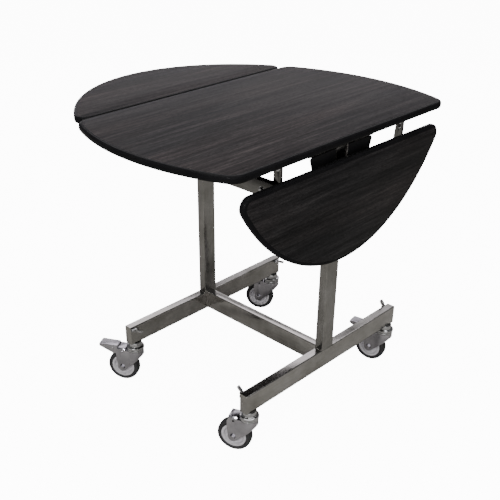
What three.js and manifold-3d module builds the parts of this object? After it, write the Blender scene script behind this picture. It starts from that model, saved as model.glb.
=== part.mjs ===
// Room service table on casters: an oval top in three parts, two of them folding leaves,
// on a stainless H frame of two foot rails, a crossbar and two columns.
// Millimetres, +Z up. X runs along the crossbar, Y along the foot rails and the hinge lines.
// The left leaf (-X) is raised and the right leaf (+X) hangs down.

import * as THREE from 'three';
import { mergeVertices } from 'three/addons/utils/BufferGeometryUtils.js';
import Module from 'manifold-3d';

const wasm = await Module();
wasm.setup();

// ---------------------------------------------------------------- driving dimensions

// table top
const tableHeight = 780;          // floor to the upper face of the top
const topThickness = 18;
const openHalfLength = 532;       // half of the open oval, along X
const halfWidth = 440;            // half of the oval, along Y
const centreHalfDepth = 270;      // half of the centre panel, along X
const leafGap = 1.5;              // seam between a raised leaf and the centre panel
const edgingWidth = 9;            // edge band, seen from above
const edgingRound = 6.5;          // radius of its upper and lower edges
const centreCornerRadius = 42;
const leafCornerRadius = 26;

// leaf hinges
const pivotInset = 24.5;          // hinge pin in from the centre panel's straight side
const knuckleGap = 1;             // knuckle below the centre panel
const armSideGap = 1;             // between the arm's web and the upright
const armThickness = 3;
const armReach = 72;              // how far the arm's foot runs under the leaf
const armFootWidth = 24;
const armEdgeClearance = 10;      // foot's start, from the leaf's straight side
const knuckleRadius = 7.5;
const pinRadius = 4;
const pinClearance = 0.2;
const pinHeadRadius = 6.5;
const pinHeadThickness = 2.6;

// front cross channel and the four hinge uprights, two of which stand in its ends
const channelY = 220;             // inner face of the channel, from the centre line
const channelWidth = 20;
const channelHeight = 37;
const channelWall = 2;
const channelDrop = 62;           // top edge of the channel, below the upper face of the top
const channelEndGap = 2.5;        // between the channel's end and the turning arm
const channelCheek = 12.5;        // how far its outer wall runs on past the arm's knuckle
const uprightThickness = 3;
const uprightFoot = 46;           // length of the part inside the channel
const uprightDrop = 72;           // length of a back upright, below the board
const uprightSpread = 5;          // how much wider a back upright is at its lower end
const uprightFlange = 24;         // flange under the top, along Y
const uprightFlangeRun = 20;      // and how far it runs past the upright, along X
const seatClearance = 0.4;        // foot of the upright over the channel's floor

// foot frame, rectangular stainless tube
const tubeWidth = 25;             // across X, rails and columns alike
const tubeWall = 1.5;
const tubeCorner = 2.2;           // outer corner radius
const railHeight = 55;
const railLength = 620;
const leafStandOff = 13.5;        // hanging leaf's inner face, outside the head plate
const railEndWall = 3;
const columnDepth = 45;           // column, along Y

// column heads
const bearerHeight = 17;
const bearerLength = 236;
const bearerWall = 2;
const headPlateThickness = 3;
const headPlateHalfWidth = 115;   // at its upper edge
const headPlateHeight = 187;
const headPlateFootHalfWidth = 30;
const headNotchDepth = 30;

// casters
const wheelRadius = 46;
const tyreWidth = 27;
const tyreDepth = 12;             // from the tread to the hub
const hubRecess = 1.5;            // hub's rim in from the tyre's side
const hubBossGap = 2.2;           // hub's boss in from the fork leg
const wheelClearance = 12;        // crown's upper face over the wheel
const casterInset = 22;           // swivel axis in from the rail's end
const casterTrail = 38;           // axle behind the swivel axis
const stemRadius = 8;
const stemClearance = 0.3;
const stemTopGap = 2;             // stem's end below the wing screw
const collarRadius = 19;
const collarHeight = 13;
const topRaceRadius = 25.5;
const topRaceHeight = 8;
const ballRaceRadius = 23;
const ballRaceHeight = 7;
const runningGap = 0.3;
const tyreGap = 2.7;              // between the tyre and a fork leg
const forkSheet = 2.5;
const forkCrownRadius = 24;
const forkHoodRise = 7;           // raised rear part of the crown, over the part under the race
const forkHoodEdge = 3.4;         // bends from it down to the legs, across
const forkHoodBend = 4.5;         // and in height
const forkLegBack = 54;           // trailing edge of the legs
const forkAxleRound = 13;
const axleRadius = 4;
const casterTurn = {              // swivel angle of each caster, trailing direction from +X
  left_front: 209,
  right_front: 203,
  left_back: 209,
  right_back: 190,
};

// brake pedal, level when released
const pedalEarGap = 1.9;          // in front of the pedal's ears
const pedalPivotDrop = 6;         // rivet below the crown's upper face
const pedalEar = 5.5;             // radius of the sides round the rivet
const pedalStart = 14.8;          // tread's front end, behind the rivet
const pedalEnd = 70;              // tread's rear end, behind the rivet
const pedalTreadHeight = 17;      // tread's upper face over the rivet
const pedalSheet = 1.6;
const pedalSideDepth = 27;        // depth of the turned-down sides beside the wheel
const pedalTipDepth = 8;          // and at the tread's rear end
const pedalSideGap = 0.6;
const shoeRadius = 3.6;
const shoeBack = 20;              // shoe behind the rivet
const shoeDrop = 2.85;            // and below it
const rivetRadius = 2.8;

// wing screws on the rails' inner faces
const wingInset = 13.5;           // screw axis in from the rail's end
const wingDrop = 9;               // and below the rail's upper face
const wingReach = 8;              // how far the shank stands inside the rail
const wingHalfSpan = 22;
const wingThickness = 4;
const wingShankRadius = 4;
const wingHubRadius = 7;
const wingHubLength = 9;

// ---------------------------------------------------------------- derived places

const underside = tableHeight - topThickness;
const leafSide = centreHalfDepth + leafGap;
const pivotX = centreHalfDepth - pivotInset;
const pivotDrop = topThickness + knuckleRadius + knuckleGap;
const pivotZ = tableHeight - pivotDrop;
const armPlateY = channelY + channelWall + uprightThickness + armSideGap;
const wheelCentre = wheelRadius;
const crownTop = wheelRadius * 2 + wheelClearance;
const topRaceBottom = crownTop + ballRaceHeight;
const collarBottom = topRaceBottom + topRaceHeight;
const casterTop = collarBottom + collarHeight;
const railTop = casterTop + railHeight;
const hangingFaceX = pivotX + pivotDrop;
const railX = hangingFaceX - topThickness - leafStandOff - headPlateThickness - tubeWidth / 2;
const railInner = railX - tubeWidth / 2;
const columnOuter = railX + tubeWidth / 2;
const bearerBottom = underside - bearerHeight;
const casterY = railLength / 2 - casterInset;
const wingY = railLength / 2 - wingInset;
const stemLength = railHeight - wingDrop - wingShankRadius - stemTopGap;
const hubRadius = wheelRadius - tyreDepth;
const hubWidth = tyreWidth - hubRecess * 2;
const forkOuterHalf = tyreWidth / 2 + tyreGap + forkSheet;
const hoodTop = crownTop + forkHoodRise;
const hoodStart = topRaceRadius + runningGap * 2;
const pedalPivotBack = hoodStart + forkSheet + pedalEarGap + pedalEar;
const hoodEnd = pedalPivotBack + pedalStart - pedalSideGap;
const channelTop = tableHeight - channelDrop;
const channelBottom = channelTop - channelHeight;

// the model stands with the middle of its footprint on the origin
const standShift = (openHalfLength - hangingFaceX) / 2;

// ---------------------------------------------------------------- helpers

const clean = (geometry) => {
  const solid = geometry.clone();
  solid.deleteAttribute('normal');
  solid.deleteAttribute('uv');
  return mergeVertices(solid, 1e-4);
};

const toSolid = (geometry) => {
  const merged = clean(geometry);
  return new wasm.Manifold(new wasm.Mesh({
    numProp: 3,
    vertProperties: new Float32Array(merged.attributes.position.array),
    triVerts: new Uint32Array(merged.index.array),
  }));
};

const toGeometry = (solid) => {
  const mesh = solid.getMesh();
  const geometry = new THREE.BufferGeometry();
  geometry.setAttribute('position', new THREE.BufferAttribute(mesh.vertProperties, 3));
  geometry.setIndex(new THREE.BufferAttribute(mesh.triVerts, 1));
  geometry.computeVertexNormals();
  return geometry;
};

// an outline in XY pushed up from z0 to z1
const extrudeZ = (shape, z0, z1, curveSegments = 12) => {
  const geometry = new THREE.ExtrudeGeometry(shape, { depth: z1 - z0, bevelEnabled: false, curveSegments });
  return geometry.translate(0, 0, z0);
};

// an outline in XZ pushed along Y from y0 to y1
const extrudeY = (shape, y0, y1, curveSegments = 12) => {
  const low = Math.min(y0, y1);
  const high = Math.max(y0, y1);
  const geometry = extrudeZ(shape, -high, -low, curveSegments);
  return geometry.rotateX(Math.PI / 2);
};

// an outline in YZ pushed along X from x0 to x1
const extrudeX = (shape, x0, x1, curveSegments = 12) => {
  const geometry = extrudeZ(shape, x0, x1, curveSegments);
  const turn = new THREE.Matrix4().makeBasis(
    new THREE.Vector3(0, 1, 0),
    new THREE.Vector3(0, 0, 1),
    new THREE.Vector3(1, 0, 0),
  );
  return geometry.applyMatrix4(turn);
};

const rectangle = (x0, y0, x1, y1) => new THREE.Shape([
  new THREE.Vector2(x0, y0),
  new THREE.Vector2(x1, y0),
  new THREE.Vector2(x1, y1),
  new THREE.Vector2(x0, y1),
]);

const roundedRectangle = (width, height, radius, Kind = THREE.Shape) => {
  const x = width / 2;
  const y = height / 2;
  const path = new Kind();
  path.moveTo(-x + radius, -y);
  path.lineTo(x - radius, -y);
  path.absarc(x - radius, -y + radius, radius, -Math.PI / 2, 0);
  path.lineTo(x, y - radius);
  path.absarc(x - radius, y - radius, radius, 0, Math.PI / 2);
  path.lineTo(-x + radius, y);
  path.absarc(-x + radius, y - radius, radius, Math.PI / 2, Math.PI);
  path.lineTo(-x, -y + radius);
  path.absarc(-x + radius, -y + radius, radius, Math.PI, Math.PI * 1.5);
  path.closePath();
  return path;
};

const circlePath = (x, y, radius, Kind = THREE.Path) => new Kind().absarc(x, y, radius, 0, Math.PI * 2);

// a profile of [radius, height] corners turned round Z
const turned = (profile, segments = 24) => {
  const points = profile.map(([radius, height]) => new THREE.Vector2(radius, height));
  const geometry = new THREE.LatheGeometry(points, segments);
  return geometry.rotateX(Math.PI / 2);
};

const piece = (name, geometry, material) => {
  const mesh = new THREE.Mesh(geometry, material);
  mesh.name = name;
  return mesh;
};

// ---------------------------------------------------------------- materials

const stainless = () => new THREE.MeshStandardMaterial({ color: 0x9a9894, roughness: 0.22, metalness: 1 });
const zinc = () => new THREE.MeshStandardMaterial({ color: 0xa3a1a4, roughness: 0.35, metalness: 1 });
const chrome = () => new THREE.MeshStandardMaterial({ color: 0xc9c9cc, roughness: 0.1, metalness: 1 });
const laminate = () => new THREE.MeshStandardMaterial({ color: 0x332e2c, roughness: 0.5, metalness: 0 });
const edgeBand = () => new THREE.MeshStandardMaterial({ color: 0x141416, roughness: 0.25, metalness: 0 });
const blackPaint = () => new THREE.MeshStandardMaterial({ color: 0x17181a, roughness: 0.4, metalness: 0.1 });
const tyreRubber = () => new THREE.MeshStandardMaterial({ color: 0x3b3b3e, roughness: 0.75, metalness: 0 });
const hubPlastic = () => new THREE.MeshStandardMaterial({ color: 0xa9a6aa, roughness: 0.5, metalness: 0 });

// ---------------------------------------------------------------- outlines of the top

// a point of the open oval and its outward normal, at parameter t
const ovalPoint = (t) => {
  const position = new THREE.Vector2(openHalfLength * Math.cos(t), halfWidth * Math.sin(t));
  const normal = new THREE.Vector2(halfWidth * Math.cos(t), openHalfLength * Math.sin(t)).normalize();
  return { position, normal };
};

// parameter in the first quadrant where the oval, moved in by radius, passes x
const ovalParameterAt = (x, radius) => {
  let low = 0;
  let high = Math.PI / 2;
  for (let step = 0; step < 60; step += 1) {
    const middle = (low + high) / 2;
    const { position, normal } = ovalPoint(middle);
    if (position.x - radius * normal.x > x) low = middle;
    else high = middle;
  }
  return (low + high) / 2;
};

// points on the arc round a corner, as positions with outward normals
const cornerArc = (centre, radius, from, to, steps) => {
  const points = [];
  for (let step = 0; step <= steps; step += 1) {
    const angle = from + ((to - from) * step) / steps;
    const normal = new THREE.Vector2(Math.cos(angle), Math.sin(angle));
    points.push({ position: centre.clone().addScaledVector(normal, radius), normal });
  }
  return points;
};

const ovalArc = (from, to, steps) => {
  const points = [];
  for (let step = 1; step < steps; step += 1) {
    points.push(ovalPoint(from + ((to - from) * step) / steps));
  }
  return points;
};

// mirror of a run of points in X or Y, walked the other way
const mirrored = (points, sx, sy) => points.map(({ position, normal }) => ({
  position: new THREE.Vector2(position.x * sx, position.y * sy),
  normal: new THREE.Vector2(normal.x * sx, normal.y * sy),
})).reverse();

const centreOutline = () => {
  const radius = centreCornerRadius;
  const t = ovalParameterAt(centreHalfDepth - radius, radius);
  const { position, normal } = ovalPoint(t);
  const centre = position.clone().addScaledVector(normal, -radius);
  const corner = cornerArc(centre, radius, 0, Math.atan2(normal.y, normal.x), 4);
  const back = [...corner, ...ovalArc(t, Math.PI - t, 14), ...mirrored(corner, -1, 1)];
  return [...back, ...mirrored(back, 1, -1)];
};

const leafOutline = () => {
  const radius = leafCornerRadius;
  const t = ovalParameterAt(leafSide + radius, radius);
  const { position, normal } = ovalPoint(t);
  const centre = position.clone().addScaledVector(normal, -radius);
  const corner = cornerArc(centre, radius, Math.atan2(normal.y, normal.x), Math.PI, 5);
  return [...mirrored(corner, 1, -1), ...ovalArc(-t, t, 18), ...corner];
};

const outlineShape = (outline, inset) => new THREE.Shape(
  outline.map(({ position, normal }) => position.clone().addScaledVector(normal, -inset)),
);

const boardGeometry = (outline) => extrudeZ(outlineShape(outline, edgingWidth), underside, tableHeight);

// the edge band: a slab with rounded edges, less the board inside it
const edgingGeometry = (outline) => {
  const slab = new THREE.ExtrudeGeometry(outlineShape(outline, edgingRound), {
    depth: topThickness - edgingRound * 2,
    bevelEnabled: true,
    bevelThickness: edgingRound,
    bevelSize: edgingRound,
    bevelSegments: 2,
  });
  slab.translate(0, 0, underside + edgingRound);
  const opening = extrudeZ(outlineShape(outline, edgingWidth), underside - 1, tableHeight + 1);
  return toGeometry(toSolid(slab).subtract(toSolid(opening)));
};

const centreTop = () => {
  const outline = centreOutline();
  return [
    piece('centre_top_panel', boardGeometry(outline), laminate()),
    piece('centre_top_edging', edgingGeometry(outline), edgeBand()),
  ];
};

// ---------------------------------------------------------------- leaf and its hinge arms

// web of the arm: knuckle on the pin, neck under the top's edge, foot under the leaf
const armGeometry = (side) => {
  const footStart = leafSide + armEdgeClearance;
  const footEnd = footStart + armReach;
  const webInner = side * armPlateY;
  const webOuter = side * (armPlateY + armThickness);
  const footOuter = side * (armPlateY + armFootWidth);
  const web = new THREE.Shape();
  web.moveTo(footStart, underside);
  web.lineTo(footStart - 4, pivotZ + knuckleRadius - 0.4);
  web.lineTo(pivotX, pivotZ + knuckleRadius);
  web.absarc(pivotX, pivotZ, knuckleRadius, Math.PI / 2, Math.PI * 1.5);
  web.lineTo(footStart, pivotZ - knuckleRadius);
  web.quadraticCurveTo(footEnd - 20, pivotZ - knuckleRadius, footEnd, underside - armThickness);
  web.lineTo(footEnd, underside);
  web.closePath();
  web.holes.push(circlePath(pivotX, pivotZ, pinRadius + pinClearance));
  const foot = rectangle(footStart, underside - armThickness, footEnd, underside);
  return toGeometry(
    toSolid(extrudeY(web, webInner, webOuter, 6)).add(toSolid(extrudeY(foot, webInner, footOuter))),
  );
};

// a raised leaf on the +X side, with its arms
const raisedLeaf = (name, frontArm, backArm) => {
  const outline = leafOutline();
  const leaf = new THREE.Group();
  leaf.add(
    piece(`${name}_panel`, boardGeometry(outline), laminate()),
    piece(`${name}_edging`, edgingGeometry(outline), edgeBand()),
    piece(frontArm, armGeometry(-1), stainless()),
    piece(backArm, armGeometry(1), stainless()),
  );
  return leaf;
};

const leftLeaf = () => {
  const leaf = raisedLeaf('left_leaf', 'left_back_hinge_arm', 'left_front_hinge_arm');
  leaf.rotation.z = Math.PI;
  return leaf;
};

const rightLeaf = () => {
  const leaf = raisedLeaf('right_leaf', 'right_front_hinge_arm', 'right_back_hinge_arm');
  leaf.position.set(-pivotX, 0, -pivotZ);
  const hanging = new THREE.Group();
  hanging.add(leaf);
  hanging.rotation.y = Math.PI / 2;
  hanging.position.set(pivotX, 0, pivotZ);
  return hanging;
};

// ---------------------------------------------------------------- hinge pins and uprights, +X side

// outline of an upright whose foot lies in the channel's end
const footedUpright = (start, end) => {
  const footStart = pivotX - knuckleRadius - channelEndGap - uprightFoot;
  const footBottom = channelBottom + channelWall + seatClearance;
  const plate = new THREE.Shape();
  plate.moveTo(footStart, footBottom);
  plate.lineTo(end - 8, footBottom);
  plate.quadraticCurveTo(end, footBottom, end, footBottom + 14);
  plate.lineTo(end, underside);
  plate.lineTo(start, underside);
  plate.lineTo(start, channelTop + 6);
  plate.quadraticCurveTo(start, channelTop - 2, start - 10, channelTop - 2);
  plate.lineTo(footStart, channelTop - 2);
  plate.closePath();
  return plate;
};

// outline of an upright that only hangs from the top, a little wider below
const hangingUpright = (start, end) => {
  const bottom = underside - uprightDrop;
  const low = start - uprightSpread;
  const round = 6;
  const plate = new THREE.Shape();
  plate.moveTo(low + round, bottom);
  plate.lineTo(end - round, bottom);
  plate.quadraticCurveTo(end, bottom, end, bottom + round);
  plate.lineTo(end, underside);
  plate.lineTo(start, underside);
  plate.lineTo(start, pivotZ - knuckleRadius);
  plate.lineTo(low, bottom + round);
  plate.quadraticCurveTo(low, bottom, low + round, bottom);
  return plate;
};

const uprightGeometry = (side, outlineOf) => {
  const inner = channelY + channelWall;
  const plateInner = side * inner;
  const plateOuter = side * (inner + uprightThickness);
  const start = pivotX - knuckleRadius;
  const end = pivotX + knuckleRadius;
  const plate = outlineOf(start, end);
  plate.holes.push(circlePath(pivotX, pivotZ, pinRadius + pinClearance));
  const flange = rectangle(start - uprightFlangeRun, underside - uprightThickness, end, underside);
  const flangeInner = side * (inner - uprightFlange);
  const upright = toSolid(extrudeY(plate, plateInner, plateOuter, 6));
  return toGeometry(upright.add(toSolid(extrudeY(flange, flangeInner, plateOuter))));
};

// a headed pin with a peened tail, through the arm and the upright
const hingePinGeometry = (side) => {
  const tail = channelY + channelWall - runningGap;
  const head = armPlateY + armThickness + runningGap;
  const geometry = turned([
    [0, tail - 1.4],
    [pinRadius + 0.8, tail - 1.4],
    [pinRadius + 0.8, tail],
    [pinRadius, tail],
    [pinRadius, head],
    [pinHeadRadius, head],
    [pinHeadRadius - 1, head + pinHeadThickness],
    [0, head + pinHeadThickness],
  ], 12);
  geometry.rotateX(side * -Math.PI / 2);
  return geometry.translate(pivotX, 0, pivotZ);
};

const hingeFittings = (side, name) => {
  const outlineOf = name.includes('front') ? footedUpright : hangingUpright;
  return [
    piece(`${name}_hinge_upright`, uprightGeometry(side, outlineOf), stainless()),
    piece(`${name}_hinge_pin`, hingePinGeometry(side), chrome()),
  ];
};

// U channel, open upwards, from one front hinge to the other; its outer wall is a little longer
const crossChannel = () => {
  const end = pivotX - knuckleRadius - channelEndGap;
  const cheekEnd = end + channelCheek;
  const outer = -channelY - channelWidth;
  const profile = new THREE.Shape();
  profile.moveTo(-channelY, channelTop);
  profile.lineTo(-channelY, channelBottom);
  profile.lineTo(outer, channelBottom);
  profile.lineTo(outer, channelTop);
  profile.lineTo(outer + channelWall, channelTop);
  profile.lineTo(outer + channelWall, channelBottom + channelWall);
  profile.lineTo(-channelY - channelWall, channelBottom + channelWall);
  profile.lineTo(-channelY - channelWall, channelTop);
  profile.closePath();
  const cheek = rectangle(outer, channelBottom, outer + channelWall, channelTop);
  const channel = toSolid(extrudeX(profile, -end, end));
  return toGeometry(channel.add(toSolid(extrudeX(cheek, -cheekEnd, cheekEnd))));
};

// ---------------------------------------------------------------- foot frame

const tubeSection = (width, height) => {
  const section = roundedRectangle(width, height, tubeCorner);
  const boreCorner = tubeCorner - tubeWall;
  const bore = roundedRectangle(width - tubeWall * 2, height - tubeWall * 2, boreCorner, THREE.Path);
  section.holes.push(bore);
  return section;
};

// a rail with welded ends, a stem hole under each end and a screw hole in its inner face
const railGeometry = (side) => {
  const middle = railTop - railHeight / 2;
  const section = roundedRectangle(tubeWidth, railHeight, tubeCorner);
  const bore = roundedRectangle(tubeWidth - tubeWall * 2, railHeight - tubeWall * 2, tubeCorner - tubeWall);
  const half = railLength / 2;
  let rail = toSolid(extrudeY(section, -half, half, 2));
  rail = rail.subtract(toSolid(extrudeY(bore, -half + railEndWall, half - railEndWall, 2)));
  for (const end of [-1, 1]) {
    const stemHole = extrudeZ(circlePath(0, end * casterY, stemRadius + stemClearance, THREE.Shape),
      -railHeight / 2 - 1, -railHeight / 2 + tubeWall + 1, 12);
    rail = rail.subtract(toSolid(stemHole));
    const screwZ = railHeight / 2 - wingDrop;
    const screwShape = circlePath(end * wingY, screwZ, wingShankRadius + stemClearance, THREE.Shape);
    const faceX = -side * tubeWidth / 2;
    const screwHole = extrudeX(screwShape, faceX - tubeWall - 1, faceX + tubeWall + 1, 8);
    rail = rail.subtract(toSolid(screwHole));
  }
  return toGeometry(rail).translate(side * railX, 0, middle);
};

const crossbarGeometry = () => {
  const geometry = extrudeX(tubeSection(tubeWidth, railHeight), -railInner, railInner, 2);
  return geometry.translate(0, 0, railTop - railHeight / 2);
};

const columnGeometry = (side) => {
  const geometry = extrudeZ(tubeSection(tubeWidth, columnDepth), railTop, bearerBottom, 2);
  return geometry.translate(side * railX, 0, 0);
};

// ---------------------------------------------------------------- column heads

const bearerGeometry = (side) => {
  const inner = side * railInner;
  const outer = side * (columnOuter + headPlateThickness);
  const low = Math.min(inner, outer);
  const high = Math.max(inner, outer);
  const wall = bearerWall;
  const section = rectangle(low, bearerBottom, high, underside);
  section.holes.push(rectangle(low + wall, bearerBottom + wall, high - wall, underside - wall));
  return extrudeY(section, -bearerLength / 2, bearerLength / 2);
};

// black plate, wide under the top and drawn in on a curve to the column, notched for the column
const headPlateGeometry = (side) => {
  const top = bearerBottom;
  const bottom = top - headPlateHeight;
  const notchFloor = top - headNotchDepth;
  const notchHalf = columnDepth / 2;
  const foot = headPlateFootHalfWidth;
  const bulge = foot + (headPlateHalfWidth - foot) * 0.6;
  const bulgeHeight = bottom + headPlateHeight * 0.34;
  const round = 5;
  const plate = new THREE.Shape();
  plate.moveTo(-foot + round, bottom);
  plate.lineTo(foot - round, bottom);
  plate.quadraticCurveTo(foot, bottom, foot + round * 0.7, bottom + round);
  plate.quadraticCurveTo(bulge, bulgeHeight, headPlateHalfWidth, top - round);
  plate.lineTo(headPlateHalfWidth - round, top);
  plate.lineTo(notchHalf, top);
  plate.lineTo(notchHalf, notchFloor);
  plate.lineTo(-notchHalf, notchFloor);
  plate.lineTo(-notchHalf, top);
  plate.lineTo(-headPlateHalfWidth + round, top);
  plate.lineTo(-headPlateHalfWidth, top - round);
  plate.quadraticCurveTo(-bulge, bulgeHeight, -foot - round * 0.7, bottom + round);
  plate.quadraticCurveTo(-foot, bottom, -foot + round, bottom);
  const inner = side * columnOuter;
  const outer = side * (columnOuter + headPlateThickness);
  return extrudeX(plate, Math.min(inner, outer), Math.max(inner, outer), 10);
};

// ---------------------------------------------------------------- casters
// Each caster is modelled with its swivel axis on Z and its wheel trailing towards +X.

const stemGeometry = () => turned([
  [0, topRaceBottom],
  [topRaceRadius, topRaceBottom],
  [topRaceRadius, collarBottom - 2],
  [topRaceRadius - 2.5, collarBottom],
  [collarRadius, collarBottom],
  [collarRadius, casterTop],
  [stemRadius, casterTop],
  [stemRadius, casterTop + stemLength],
  [0, casterTop + stemLength],
], 16);

const ballRaceGeometry = () => turned([
  [0, crownTop],
  [ballRaceRadius, crownTop],
  [ballRaceRadius + 1.2, crownTop + ballRaceHeight / 2],
  [ballRaceRadius, crownTop + ballRaceHeight - runningGap],
  [0, crownTop + ballRaceHeight - runningGap],
], 16);

// plan of the fork: round crown in front, two parallel legs behind
const forkPlan = (inset, back) => {
  const half = forkOuterHalf - inset;
  const radius = forkCrownRadius - inset;
  const angle = Math.asin(half / radius);
  const plan = new THREE.Shape();
  plan.moveTo(back, -half);
  plan.lineTo(back, half);
  plan.lineTo(radius * Math.cos(angle), half);
  plan.absarc(0, 0, radius, angle, Math.PI * 2 - angle);
  plan.closePath();
  return plan;
};

// section of the fork's rear part: two legs under a hood with bent corners
const hoodSection = (inset, low) => {
  const half = forkOuterHalf - inset;
  const flat = forkOuterHalf - forkHoodEdge - inset * 0.45;
  const top = hoodTop - inset;
  const section = new THREE.Shape();
  section.moveTo(-half, low);
  section.lineTo(half, low);
  section.lineTo(half, top - forkHoodBend);
  section.lineTo(flat, top);
  section.lineTo(-flat, top);
  section.lineTo(-half, top - forkHoodBend);
  section.closePath();
  return section;
};

// side view of the fork: sloping front, rounded foot round the axle
const forkSide = () => {
  const legBottom = wheelCentre - forkAxleRound;
  const front = -forkCrownRadius - 1;
  const side = new THREE.Shape();
  side.moveTo(front, hoodTop + 1);
  side.lineTo(front, crownTop - 11);
  side.lineTo(casterTrail - forkAxleRound * 0.8, wheelCentre - forkAxleRound * 0.6);
  side.quadraticCurveTo(casterTrail - forkAxleRound * 0.35, legBottom, casterTrail, legBottom);
  side.absarc(casterTrail, wheelCentre, forkAxleRound, -Math.PI / 2, 0);
  side.lineTo(forkLegBack, crownTop - 24);
  side.lineTo(forkLegBack, crownTop - 8);
  side.lineTo(hoodEnd, crownTop - 2);
  side.lineTo(hoodEnd, hoodTop + 1);
  side.closePath();
  return side;
};

const forkGeometry = () => {
  const low = wheelCentre - forkAxleRound - 5;
  const inner = forkSheet;
  const back = forkLegBack + 2;
  const crownBottom = crownTop - forkSheet - 1.5;
  const hole = (x, z, radius, segments) => toSolid(
    extrudeY(circlePath(x, z, radius + runningGap, THREE.Shape), -30, 30, segments),
  );
  const crown = toSolid(extrudeZ(forkPlan(0, back), low, crownTop, 10));
  const hood = toSolid(extrudeX(hoodSection(0, low), hoodStart, back));
  const underCrown = toSolid(extrudeZ(forkPlan(inner, back + 8), low - 5, crownBottom, 10));
  const underHood = toSolid(extrudeX(hoodSection(inner, low - 5), hoodStart + inner, back + 8));
  const outside = toSolid(extrudeY(forkSide(), -forkCrownRadius - 5, forkCrownRadius + 5, 5));
  const fork = crown.add(hood).subtract(underCrown.add(underHood)).intersect(outside);
  const axleHole = hole(casterTrail, wheelCentre, axleRadius, 8);
  const rivetHole = hole(pedalPivotBack, crownTop - pedalPivotDrop, rivetRadius, 6);
  return toGeometry(fork.subtract(axleHole).subtract(rivetHole));
};

const hubGeometry = () => {
  const half = hubWidth / 2;
  const boss = forkOuterHalf - forkSheet - hubBossGap;
  return turned([
    [axleRadius + runningGap, -boss],
    [10, -boss],
    [hubRadius - 8, -3.5],
    [hubRadius - 4, -half],
    [hubRadius, -half],
    [hubRadius, half],
    [hubRadius - 4, half],
    [hubRadius - 8, 3.5],
    [10, boss],
    [axleRadius + runningGap, boss],
    [axleRadius + runningGap, -boss],
  ], 24).rotateX(Math.PI / 2).translate(casterTrail, 0, wheelCentre);
};

const tyreGeometry = () => {
  const half = tyreWidth / 2;
  return turned([
    [hubRadius, -hubWidth / 2],
    [hubRadius + 4, -half],
    [wheelRadius - 3.5, -half],
    [wheelRadius, -half + 6],
    [wheelRadius, half - 6],
    [wheelRadius - 3.5, half],
    [hubRadius + 4, half],
    [hubRadius, hubWidth / 2],
    [hubRadius, -hubWidth / 2],
  ], 24).rotateX(Math.PI / 2).translate(casterTrail, 0, wheelCentre);
};

// hexagon head on one side, domed nut on the other
const axleBoltGeometry = () => {
  const face = forkOuterHalf + runningGap;
  const shank = turned([
    [0, -face],
    [axleRadius, -face],
    [axleRadius, face],
    [6.4, face],
    [6.4, face + 4],
    [3.5, face + 6],
    [0, face + 6],
  ], 8);
  const head = new THREE.CylinderGeometry(7, 7, 4, 6).rotateX(Math.PI / 2).translate(0, 0, -face - 1.9);
  const bolt = toGeometry(toSolid(shank).add(toSolid(head)));
  return bolt.rotateX(-Math.PI / 2).translate(casterTrail, 0, wheelCentre);
};

// pedal's side, seen along the rivet: an ear round the rivet, then deep beside the wheel
const pedalSide = () => {
  const top = pedalTreadHeight - pedalSheet / 2;
  const side = new THREE.Shape();
  side.moveTo(pedalStart, top);
  side.lineTo(pedalEnd, top);
  side.lineTo(pedalEnd, pedalTreadHeight - pedalTipDepth);
  side.lineTo(pedalEnd * 0.4, pedalTreadHeight - pedalSideDepth);
  side.lineTo(0, -pedalEar);
  side.absarc(0, 0, pedalEar, -Math.PI / 2, Math.PI / 2, true);
  side.lineTo(pedalStart, pedalEar);
  side.closePath();
  return side;
};

// pressed pedal: tread and sides on a rivet, with the shoe that grips the tyre
const pedalGeometry = () => {
  const half = forkOuterHalf - forkSheet - pedalSideGap;
  const bar = (radius, length, x, z) => toSolid(
    new THREE.CylinderGeometry(radius, radius, length, 8).translate(x, 0, z),
  );
  const plan = roundedRectangle(pedalEnd - pedalStart, half * 2, 3);
  const tread = extrudeZ(plan, pedalTreadHeight - pedalSheet, pedalTreadHeight, 3);
  let pedal = toSolid(tread.translate((pedalStart + pedalEnd) / 2, 0, 0));
  for (const face of [-1, 1]) {
    pedal = pedal.add(toSolid(extrudeY(pedalSide(), face * half, face * (half - pedalSheet), 4)));
  }
  pedal = pedal.add(bar(shoeRadius, half * 2 - pedalSheet, shoeBack, -shoeDrop));
  pedal = pedal.add(bar(rivetRadius, forkOuterHalf * 2 + 3, 0, 0));
  return toGeometry(pedal).translate(pedalPivotBack, 0, crownTop - pedalPivotDrop);
};

const caster = (name, x, y, braked) => {
  const group = new THREE.Group();
  group.add(
    piece(`${name}_caster_stem`, stemGeometry(), chrome()),
    piece(`${name}_ball_race`, ballRaceGeometry(), chrome()),
    piece(`${name}_fork`, forkGeometry(), zinc()),
    piece(`${name}_wheel_hub`, hubGeometry(), hubPlastic()),
    piece(`${name}_tyre`, tyreGeometry(), tyreRubber()),
    piece(`${name}_axle_bolt`, axleBoltGeometry(), zinc()),
  );
  if (braked) group.add(piece(`${name}_brake_pedal`, pedalGeometry(), zinc()));
  group.position.set(x, y, 0);
  group.rotation.z = THREE.MathUtils.degToRad(casterTurn[name]);
  return group;
};

// ---------------------------------------------------------------- wing screws

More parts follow.
